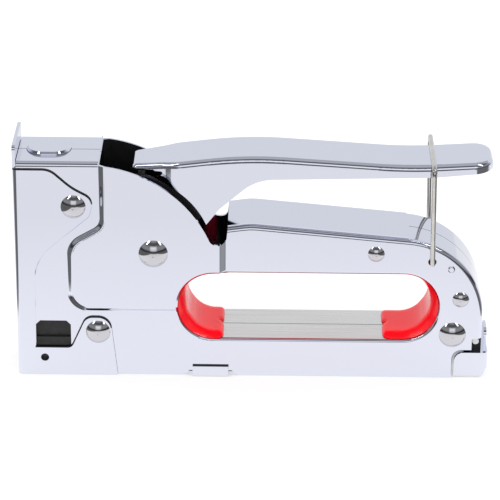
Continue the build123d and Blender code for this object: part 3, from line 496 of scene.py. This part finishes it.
def liner_points(stations, across):
    """Give the points on the liner's inside and on the wall of the loop, row by row."""
    inside, wall = [], []
    for x, share, z, wall_x, wall_z, thick in stations:
        half = panel_half if x < panel_rear else plain_half
        at_front = x < loop_middle.x
        for part in across:
            y = half * part
            flank = max(0, (abs(y) - half + pad_flank) / pad_flank)
            rise = thick * (1 - flank**flank_power)
            at = x
            if share > 0:
                cut = pad_notch * exp(-((y / notch_width) ** 2)) + pad_round * flank**round_power
                end = pad_ends[0] - cut if at_front else pad_ends[1] + cut
                at = x + (end - x) * share
                near = min(1, abs(end - at) / pad_round)
                rise *= (1 - (1 - near) ** 2) ** 0.5
            inside.append((at - wall_x * rise, y, z - wall_z * rise))
            wall.append((at, y, z))
    return inside, wall


def soft_liner():
    """Stand a moulded ring in for the liner: two sheets of points that share their edge."""
    stations = ring_stations()
    across = [sin(pi / 2 * j / half_steps) for j in range(-half_steps, half_steps + 1)]
    inside, wall = liner_points(stations, across)
    row = len(across)
    last = len(inside) - row
    edge = {i for i in range(len(inside)) if i < row or i >= last or i % row in (0, row - 1)}
    corners = (0, row - 1, last, last + row - 1)
    shape = bmesh.new()
    front = [shape.verts.new(spot) for spot in inside]
    back = [front[i] if i in edge else shape.verts.new(spot) for i, spot in enumerate(wall)]
    for dots in (front, back):
        for i in range(len(stations) - 1):
            for j in range(row - 1):
                first = i * row + j
                loop = (first, first + 1, first + row + 1, first + row)
                shape.faces.new([dots[k] for k in loop if k not in corners])
    for k in corners:
        shape.verts.remove(front[k])
    bmesh.ops.recalc_face_normals(shape, faces=shape.faces)
    mesh = bpy.data.meshes.new("soft_liner")
    shape.to_mesh(mesh)
    shape.free()
    mesh.materials.append(red_plastic)
    mesh.shade_smooth()
    mesh.set_sharp_from_angle(angle=crease)
    made = bpy.data.objects.new("soft_liner", mesh)
    bpy.context.scene.collection.objects.link(made)
    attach(made, "body")
    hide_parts("grip_liner")


soft_liner()

# Springs of round wire
turn_steps = 24


def spring(name, node, body, turns, wire, along):
    """Wind a round-wire coil into the box of a CAD spring."""
    low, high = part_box(node)
    middle = (low + high) / 2
    across = [i for i in range(3) if i != along]
    radius = (high[across[0]] - low[across[0]]) / 2 - wire / 2
    start = low[along] + wire / 2
    run = high[along] - low[along] - wire
    steps = turns * turn_steps
    curve = bpy.data.curves.new(name, "CURVE")
    curve.dimensions = "3D"
    curve.bevel_depth = wire / 2
    curve.bevel_resolution = 4
    curve.use_fill_caps = True
    line = curve.splines.new("POLY")
    line.points.add(steps)
    for i, point in enumerate(line.points):
        angle = 2 * pi * turns * i / steps
        at = [0.0, 0.0, 0.0]
        at[along] = start + run * i / steps
        at[across[0]] = middle[across[0]] + radius * cos(angle)
        at[across[1]] = middle[across[1]] + radius * sin(angle)
        point.co = (*at, 1)
    holder = bpy.data.objects.new(name + "_curve", curve)
    bpy.context.scene.collection.objects.link(holder)
    bpy.context.view_layer.update()
    wound = holder.evaluated_get(bpy.context.evaluated_depsgraph_get())
    mesh = bpy.data.meshes.new_from_object(wound)
    bpy.data.objects.remove(holder)
    mesh.materials.clear()
    mesh.materials.append(wire_steel)
    mesh.shade_smooth()
    made = bpy.data.objects.new(name, mesh)
    bpy.context.scene.collection.objects.link(made)
    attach(made, body)
    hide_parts(node)
    return made


coil = spring("main_spring_coil", "main_spring", "body", turns=7, wire=0.0021, along=2)
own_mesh(coil)
coil = spring("pusher_spring_coil", "pusher_spring", "magazine", turns=40, wire=0.0007, along=0)
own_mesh(coil)

# Room: white to the camera, even light on matt surfaces, graded for mirrors from a front panel to a back wall
below = [(-1.0, 0.28), (-0.35, 0.28), (-0.06, 0.22)]
side_stops = [
    (0.0, 0.05), (0.13, 0.04), (0.23, 0.28), (0.42, 0.34),
    (0.60, 0.24), (0.74, 0.10), (0.95, 0.14), (1.0, 0.45),
]
panel_stops = [
    (0.0, 0.06), (0.09, 0.06), (0.22, 0.80), (0.44, 1.10),
    (0.54, 1.00), (0.68, 0.12), (0.84, 0.10), (1.0, 0.55),
]
panel_edge = (0.20, 0.44)
ceiling = (0.46, 0.47, 0.48)
ceiling_front = (0.05, 0.25)
ceiling_low = (0.55, 0.75)
back_wall = (0.80, 0.82, 0.84)
back_side = (0.1, 0.6)
back_top = (0.58, 0.72)
least_flat = 0.0001
even_light = (1.15, 1.15, 1.15)
white = (1.0, 1.0, 1.0)
world = bpy.data.worlds.new("studio")
bpy.context.scene.world = world
world.use_nodes = True
tree = world.node_tree
tree.nodes.clear()
seen = tree.nodes.new("ShaderNodeLightPath").outputs
x, y, z = split(tree, tree.nodes.new("ShaderNodeTexCoord").outputs["Generated"])
flat_square = number(tree, "SUBTRACT", 1, number(tree, "MULTIPLY", z, z))
flat = number(tree, "SQRT", number(tree, "MAXIMUM", flat_square, least_flat))
around = levels(tree, z, below + side_stops)
panel = levels(tree, z, below + panel_stops)
room = blend(tree, ease(tree, number(tree, "ABSOLUTE", x), *panel_edge), panel, around)
overhead = number(tree, "MULTIPLY", ease(tree, y, *ceiling_front), ease(tree, z, *ceiling_low))
room = blend(tree, overhead, room, ceiling)
rearward = ease(tree, number(tree, "DIVIDE", y, flat), *back_side)
low_down = number(tree, "SUBTRACT", 1, ease(tree, z, *back_top))
room = blend(tree, number(tree, "MULTIPLY", rearward, low_down), room, back_wall)
mirrored = number(tree, "MAXIMUM", seen["Is Glossy Ray"], seen["Is Transmission Ray"])
light = blend(tree, mirrored, even_light, room)
light = blend(tree, seen["Is Camera Ray"], light, white)
glow = tree.nodes.new("ShaderNodeBackground")
out = tree.nodes.new("ShaderNodeOutputWorld")
link(tree, (light, glow.inputs["Color"]), (glow.outputs["Background"], out.inputs["Surface"]))

# Floor: pale and lifted to white for the camera, and for mirrors a bright pool round and behind the tool
floor_size = 6
floor_drop = 0.0002
floor_grey = (0.55, 0.55, 0.55)
floor_mirrored = (0.25, 0.25, 0.25)
floor_far = (0.12, 0.12, 0.12)
camera_lift = 0.5
near_lift = 0.80
far_lift = 0.61
lift_reach = (0.02, 0.16)
pool_length = 0.135
pool_width = 0.38
pool_edge = (1.09, 0.97)
pool_rear = (-0.03, 0.08)
bpy.ops.mesh.primitive_plane_add(size=floor_size, location=(0, 0, -floor_drop))
floor = bpy.context.object
floor.name = "floor"
made = bpy.data.materials.new("floor")
floor.data.materials.append(made)
made.use_nodes = True
tree = made.node_tree
tree.nodes.clear()
seen = tree.nodes.new("ShaderNodeLightPath").outputs
ground = tree.nodes.new("ShaderNodeNewGeometry").outputs
x, y, _ = split(tree, ground["Position"])
beside = number(tree, "ABSOLUTE", y)
long = number(tree, "DIVIDE", number(tree, "ABSOLUTE", x), pool_length)
away = number(tree, "MAXIMUM", long, number(tree, "DIVIDE", beside, pool_width))
pool = number(tree, "MAXIMUM", ease(tree, away, *pool_edge), ease(tree, y, *pool_rear))
outside = number(tree, "MULTIPLY", seen["Is Glossy Ray"], number(tree, "SUBTRACT", 1, pool))
watched = number(tree, "MULTIPLY", seen["Is Camera Ray"], camera_lift)
fading = spread(tree, beside, near_lift, far_lift, *lift_reach)
mirrored = number(tree, "MULTIPLY", seen["Is Glossy Ray"], fading)
matt = tree.nodes.new("ShaderNodeBsdfDiffuse")
lift = tree.nodes.new("ShaderNodeEmission")
lift.inputs["Color"].default_value = (*white, 1)
both = tree.nodes.new("ShaderNodeAddShader")
dim = tree.nodes.new("ShaderNodeBsdfDiffuse")
dim.inputs["Color"].default_value = (*floor_far, 1)
far = tree.nodes.new("ShaderNodeMixShader")
clear = tree.nodes.new("ShaderNodeBsdfTransparent")
under = tree.nodes.new("ShaderNodeMixShader")
out = tree.nodes.new("ShaderNodeOutputMaterial")
link(
    tree,
    (blend(tree, seen["Is Glossy Ray"], floor_grey, floor_mirrored), matt.inputs["Color"]),
    (number(tree, "ADD", watched, mirrored), lift.inputs["Strength"]),
    (matt.outputs["BSDF"], both.inputs[0]),
    (lift.outputs["Emission"], both.inputs[1]),
    (outside, far.inputs["Fac"]),
    (both.outputs["Shader"], far.inputs[1]),
    (dim.outputs["BSDF"], far.inputs[2]),
    (ground["Backfacing"], under.inputs["Fac"]),
    (far.outputs["Shader"], under.inputs[1]),
    (clear.outputs["BSDF"], under.inputs[2]),
    (under.outputs["Shader"], out.inputs["Surface"]),
)

# Two soft lamps, one on each side, in front and above
lamp_side = 0.50
lamp_front = -0.30
lamp_height = 0.85
lamp_aim = Vector((0, 0, 0.04))


def lamp(name, side):
    """Hang a soft rectangular lamp on one side, turned to the tool."""
    light = bpy.data.lights.new(name, "AREA")
    light.shape = "RECTANGLE"
    light.size = 0.10
    light.size_y = 0.55
    light.energy = 0.9
    made = bpy.data.objects.new(name, light)
    bpy.context.scene.collection.objects.link(made)
    made.location = (side, lamp_front, lamp_height)
    made.rotation_mode = "QUATERNION"
    made.rotation_quaternion = (lamp_aim - made.location).to_track_quat("-Z", "Y")
    made.visible_camera = False


lamp("left_lamp", -lamp_side)
lamp("right_lamp", lamp_side)

# Camera of the photograph
camera_at = Vector((0.00838, -0.8565, 0.4352))
target = Vector((-0.00134, 0, 0.04479))
roll = radians(0.345)
ahead = (target - camera_at).normalized()
right = ahead.cross(Vector((0, 0, 1))).normalized()
above = right.cross(ahead)
x_axis = right * cos(roll) + above * sin(roll)
y_axis = above * cos(roll) - right * sin(roll)
lens = bpy.data.cameras.new("camera")
lens.lens = 185.18
lens.sensor_width = 36
camera = bpy.data.objects.new("camera", lens)
bpy.context.scene.collection.objects.link(camera)
turn = Matrix((x_axis, y_axis, -ahead)).transposed().to_4x4()
camera.matrix_world = Matrix.Translation(camera_at) @ turn
bpy.context.scene.camera = camera

bpy.context.scene.view_settings.view_transform = "Standard"
